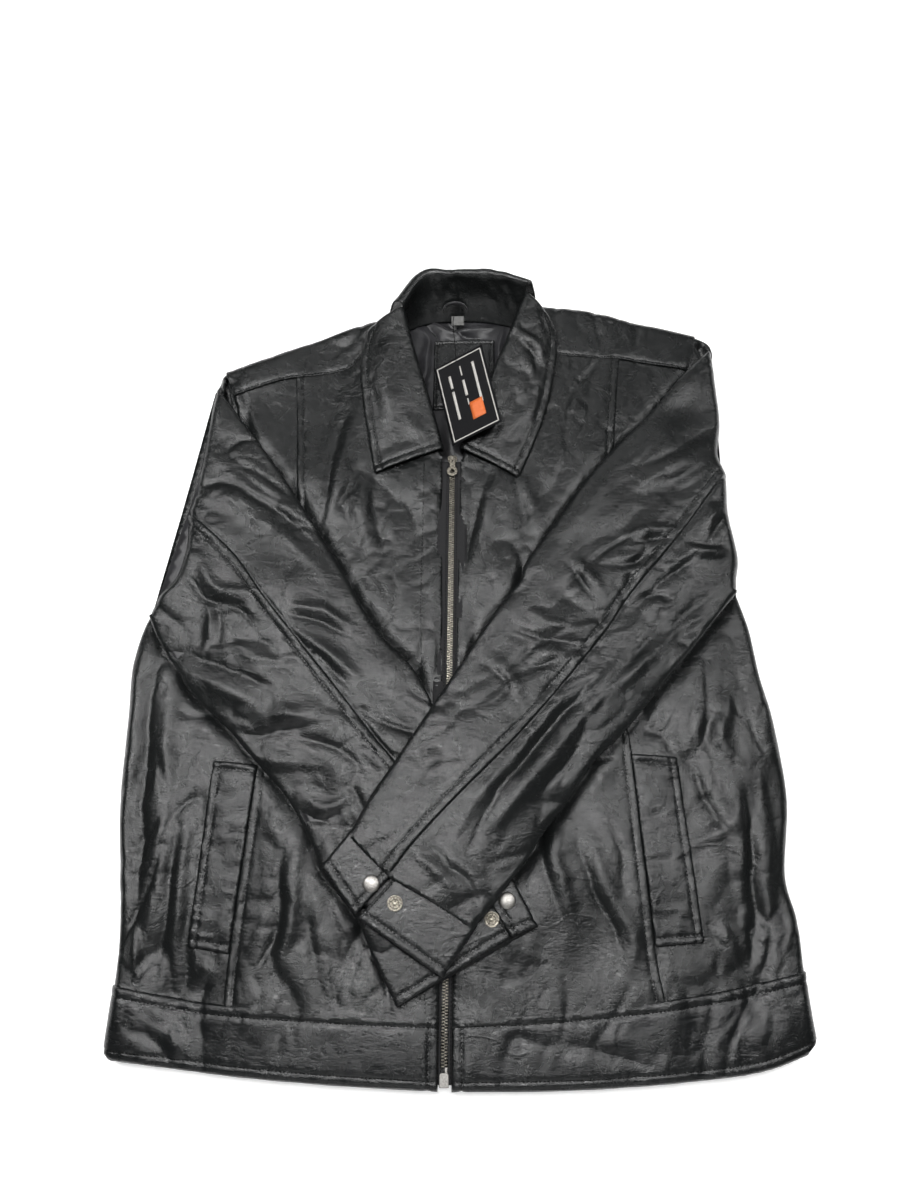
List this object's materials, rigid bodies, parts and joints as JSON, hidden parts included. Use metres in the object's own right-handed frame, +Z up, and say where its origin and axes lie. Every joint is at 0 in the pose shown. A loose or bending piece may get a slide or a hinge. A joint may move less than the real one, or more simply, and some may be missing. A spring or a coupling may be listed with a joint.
{
  "type": "leather welding jacket",
  "caption": "Black leather zip jacket lying face up with its collar folded open and both sleeves folded across the front, one over the other.",
  "frame": {"origin": "centre of the jacket's outline on the surface that it lies on", "axes": "+Z up out of the front, +Y from the hem to the collar, +X towards the wearer's left side"},
  "size_m": [0.597, 0.7695, 0.0524],
  "materials": {
    "shell_leather": "satin",
    "trim_leather": "satin",
    "satin_lining": "satin",
    "zip_tape": "matte",
    "antique_metal": "satin",
    "nickel": "polished",
    "tag_card": "satin",
    "sticker_paper": "matte",
    "label_fabric": "matte"
  },
  "bodies": {
    "jacket_body": {"back_panel": "shell_leather", "back_yoke": "shell_leather", "back_lining": "satin_lining", "front_panel_left": "shell_leather", "front_panel_right": "shell_leather", "front_side_panel_left": "shell_leather", "front_side_panel_right": "shell_leather", "side_panel_left": "shell_leather", "side_panel_right": "shell_leather", "shoulder_yoke_left": "shell_leather", "shoulder_yoke_right": "shell_leather", "sleeve_head_left": "shell_leather", "sleeve_head_right": "shell_leather", "front_lining_left": "satin_lining", "front_lining_right": "satin_lining", "waistband_back": "shell_leather", "waistband_front_left": "shell_leather", "waistband_front_right": "shell_leather", "waistband_side_left": "shell_leather", "waistband_side_right": "shell_leather", "pocket_welt_left": "trim_leather", "pocket_welt_right": "trim_leather", "pocket_bag_left": "satin_lining", "pocket_bag_right": "satin_lining", "collar_back": "shell_leather", "neck_patch": "trim_leather", "size_label": "label_fabric", "hanger_loop": "satin_lining", "zip_tape_left": "zip_tape", "zip_tape_right": "zip_tape", "zip_teeth_left": "antique_metal", "zip_teeth_right": "antique_metal", "zip_retainer_box": "nickel", "zip_insertion_pin": "nickel", "tag_string": "zip_tape"},
    "zip_slider": {"slider_body": "antique_metal"},
    "zip_pull": {"pull_tab": "antique_metal"},
    "collar_left": {"collar_leaf_left": "shell_leather"},
    "collar_right": {"collar_leaf_right": "shell_leather"},
    "tag": {"hang_tag": "tag_card", "tag_sticker": "sticker_paper"},
    "sleeve_left": {"sleeve_left_top": "shell_leather", "sleeve_left_under": "shell_leather", "sleeve_left_upper_fold": "shell_leather", "sleeve_left_lower_fold": "shell_leather", "sleeve_left_lining": "satin_lining", "cuff_left": "trim_leather", "snap_socket_left": "antique_metal"},
    "cuff_flap_left": {"cuff_tab_left": "trim_leather", "snap_cap_left": "nickel"},
    "sleeve_right": {"sleeve_right_top": "shell_leather", "sleeve_right_under": "shell_leather", "sleeve_right_upper_fold": "shell_leather", "sleeve_right_lower_fold": "shell_leather", "sleeve_right_lining": "satin_lining", "cuff_right": "trim_leather", "snap_socket_right": "antique_metal"},
    "cuff_flap_right": {"cuff_tab_right": "trim_leather", "snap_cap_right": "nickel"}
  },
  "joints": [
    {"name": "zip_slide", "type": "slide", "parent": "jacket_body", "child": "zip_slider", "axis": [0, -1, 0], "range_m": [0, 0.53], "deforming": ["zip_teeth_left", "zip_teeth_right"]},
    {"name": "pull_swing", "type": "hinge", "parent": "zip_slider", "child": "zip_pull", "pos_m": [-0.0045, 0.1845, 0.0188], "axis": [-1, 0, 0], "range_deg": [0, 90]},
    {"name": "collar_left_lift", "type": "hinge", "parent": "jacket_body", "child": "collar_left", "pos_m": [0.0015, 0.1935, 0.0235], "axis": [-0.3619, -0.9261, -0.1064], "range_deg": [0, 80]},
    {"name": "collar_right_lift", "type": "hinge", "parent": "jacket_body", "child": "collar_right", "pos_m": [-0.0131, 0.1955, 0.024], "axis": [-0.2794, 0.9538, 0.1108], "range_deg": [0, 80]},
    {"name": "tag_swing", "type": "hinge", "parent": "jacket_body", "child": "tag", "pos_m": [-0.00122, 0.2815, 0.03702], "axis": [-0.9363, -0.3511, 0], "range_deg": [0, 60]},
    {"name": "sleeve_left_unfold", "type": "hinge", "parent": "jacket_body", "child": "sleeve_left", "pos_m": [0.2655, 0.1735, 0.024], "axis": [0, 1, 0], "range_deg": [0, 170]},
    {"name": "sleeve_right_unfold", "type": "hinge", "parent": "jacket_body", "child": "sleeve_right", "pos_m": [-0.2673, 0.1385, 0.02], "axis": [-0.1599, -0.9871, 0], "range_deg": [0, 85]},
    {"name": "cuff_left_open", "type": "hinge", "parent": "sleeve_left", "child": "cuff_flap_left", "pos_m": [-0.0835, -0.1815, 0.05071], "axis": [-0.6154, -0.7877, 0.0277], "range_deg": [0, 110]},
    {"name": "cuff_right_open", "type": "hinge", "parent": "sleeve_right", "child": "cuff_flap_right", "pos_m": [0.0485, -0.2155, 0.0318], "axis": [-0.4874, 0.8732, 0], "range_deg": [0, 102]}
  ],
  "couplings": [
    {"joint": "sleeve_right_unfold", "follows": "sleeve_left_unfold", "ratio": 0.5},
    {"joint": "tag_swing", "follows": "collar_left_lift", "ratio": 0.75},
    {"joint": "cuff_right_open", "follows": "sleeve_left_unfold", "ratio": 0.6}
  ]
}
